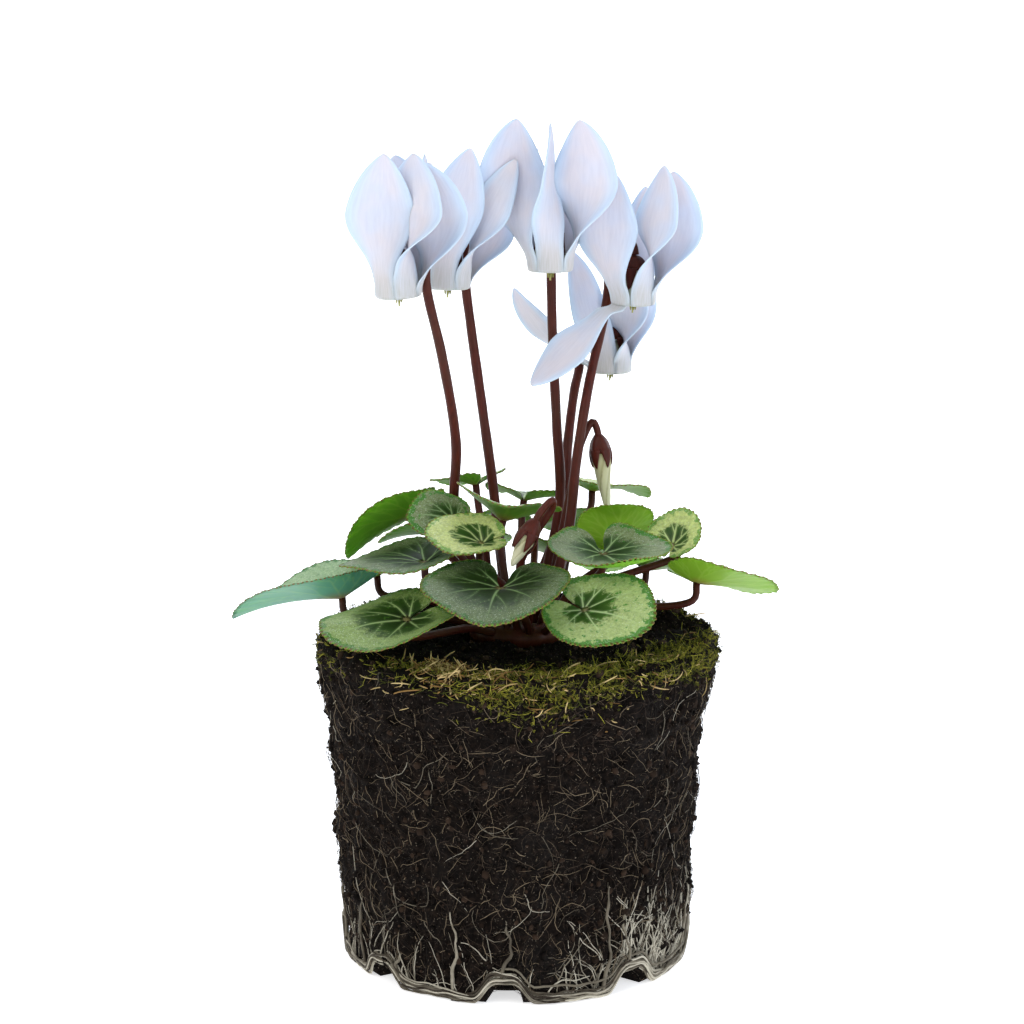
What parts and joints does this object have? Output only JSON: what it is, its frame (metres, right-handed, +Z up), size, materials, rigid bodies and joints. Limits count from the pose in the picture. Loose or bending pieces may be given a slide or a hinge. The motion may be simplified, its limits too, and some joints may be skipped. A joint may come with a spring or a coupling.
{
  "type": "cyclamen plant",
  "caption": "White miniature cyclamen with silver-marked heart-shaped leaves and nodding flowers, out of its pot on a bare compost root ball.",
  "frame": {"origin": "centre of the root ball's flat bottom, on the surface it stands on", "axes": "+Z up along the plant, +X to the right and -Y toward the viewer in the picture"},
  "size_m": [0.1311, 0.1192, 0.2048],
  "materials": {
    "compost": "matte, crumbly dark peat",
    "root": "matte, pale fibrous root",
    "tuber": "matte, corky brown skin",
    "stalk": "satin, dark red-brown, finely haired",
    "leaf": "satin, dark green with a silver-green zone and pale veins",
    "petal": "satin, translucent white",
    "bud": "satin, greenish cream"
  },
  "bodies": {
    "root": {"compost_ball": "compost", "roots": "root", "tuber": "tuber", "leaf_stalks": "stalk", "leaf_low_1": "leaf", "leaf_low_2": "leaf", "leaf_low_3": "leaf", "leaf_low_4": "leaf", "leaf_low_5": "leaf", "leaf_low_6": "leaf", "leaf_low_7": "leaf", "leaf_low_8": "leaf", "leaf_mid_1": "leaf", "leaf_mid_2": "leaf", "leaf_mid_3": "leaf", "leaf_mid_4": "leaf", "leaf_mid_5": "leaf", "leaf_mid_6": "leaf", "leaf_mid_7": "leaf", "leaf_mid_8": "leaf", "leaf_top_1": "leaf", "leaf_top_2": "leaf", "leaf_top_3": "leaf", "leaf_top_4": "leaf", "leaf_top_5": "leaf", "leaf_top_6": "leaf", "flower_1_petals": "petal", "flower_1_stalk": "stalk", "flower_2_petals": "petal", "flower_2_stalk": "stalk", "flower_3_petals": "petal", "flower_3_stalk": "stalk", "flower_4_petals": "petal", "flower_4_stalk": "stalk", "flower_5_petals": "petal", "flower_5_stalk": "stalk", "bud_1_stalk": "stalk", "bud_1_petals": "bud", "bud_2_stalk": "stalk", "bud_2_petals": "bud"}
  },
  "joints": []
}
